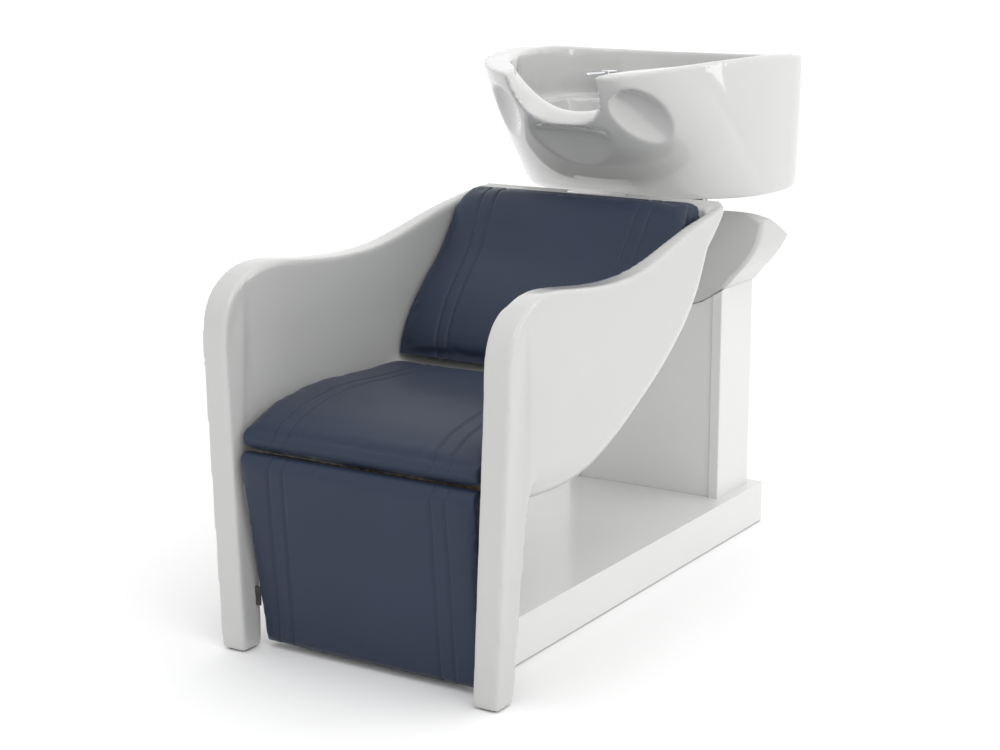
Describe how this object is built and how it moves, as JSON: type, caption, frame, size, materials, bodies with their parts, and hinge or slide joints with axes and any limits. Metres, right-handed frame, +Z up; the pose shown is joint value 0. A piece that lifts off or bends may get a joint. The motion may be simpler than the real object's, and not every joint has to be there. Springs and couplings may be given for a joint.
{
  "type": "shampoo backwash unit",
  "caption": "Salon backwash unit: white bucket chair with upholstered seat, back and front panel, low plinth and column, and a tilting ceramic neck basin with mixer tap and hand spray.",
  "frame": {"origin": "centre of the bounding box in plan, on the floor", "axes": "+Z up, +Y from the chair's front to the basin (the sitter faces -Y), +X to the sitter's left"},
  "size_m": [0.61, 1.274, 0.9915],
  "materials": {
    "white_moulding": "gloss",
    "leatherette": "fine grain, satin",
    "plywood": "raw birch plywood",
    "frame_steel": "dark powder coat",
    "zinc_steel": "zinc plated",
    "black_rubber": "matt",
    "tag_fabric": "woven",
    "bush_brass": "turned",
    "glazed_ceramic": "vitreous glaze",
    "chrome": "polished",
    "pipe_plastic": "matt"
  },
  "bodies": {
    "base": {"seat_shell": "white_moulding", "leg_glides": "black_rubber", "shell_bolts": "zinc_steel", "seat_cushion": "leatherette", "seat_board": "plywood", "back_cushion": "leatherette", "back_board": "plywood", "board_screws": "zinc_steel", "front_panel": "leatherette", "front_board": "plywood", "panel_brackets": "frame_steel", "label_tag": "tag_fabric", "plinth_cover": "white_moulding", "base_rails": "frame_steel", "base_crossbars": "frame_steel", "anchor_plates": "frame_steel", "levelling_feet": "black_rubber", "pedestal_posts": "frame_steel", "pedestal_plate": "frame_steel", "column_posts": "frame_steel", "column_cheek_left": "white_moulding", "column_cheek_right": "white_moulding", "column_front_panel": "white_moulding", "column_rear_panel": "white_moulding", "column_screws": "zinc_steel", "tilt_housing": "white_moulding", "housing_lid": "white_moulding", "tilt_head": "frame_steel", "tilt_ears": "frame_steel", "tilt_bushes": "bush_brass", "waste_hose": "black_rubber", "waste_pipe": "pipe_plastic", "supply_hot": "zinc_steel", "supply_cold": "zinc_steel"},
    "basin_unit": {"tilt_pins": "zinc_steel", "basin_cradle": "frame_steel", "cradle_bolts": "zinc_steel", "basin": "glazed_ceramic", "waste_flange": "chrome", "waste_nut": "chrome", "mixer_body": "chrome", "mixer_nut": "chrome", "spray_socket": "chrome"},
    "turret": {"mixer_turret": "chrome"},
    "handle": {"mixer_cap": "chrome", "mixer_lever": "chrome", "mixer_pin": "zinc_steel"},
    "strainer_plug": {"strainer": "chrome"},
    "spray": {"hand_spray": "chrome"}
  },
  "joints": [
    {"name": "basin_tilt", "type": "hinge", "parent": "base", "child": "basin_unit", "pos_m": [0, 0.454, 0.7], "axis": [1, 0, 0], "range_deg": [-15, 0]},
    {"name": "mixer_swivel", "type": "hinge", "parent": "basin_unit", "child": "turret", "pos_m": [-0.17, 0.539, 0.9], "axis": [0, 0, 1], "range_deg": [-50, 50]},
    {"name": "mixer_lift", "type": "hinge", "parent": "turret", "child": "handle", "pos_m": [-0.17, 0.539, 0.929], "axis": [0.9744, -0.225, 0], "range_deg": [-20, 0]},
    {"name": "strainer_lift", "type": "slide", "parent": "basin_unit", "child": "strainer_plug", "axis": [0, 0, 1], "range_m": [0, 0.05]},
    {"name": "spray_lift", "type": "slide", "parent": "basin_unit", "child": "spray", "axis": [0, 0, 1], "range_m": [0, 0.12]}
  ]
}
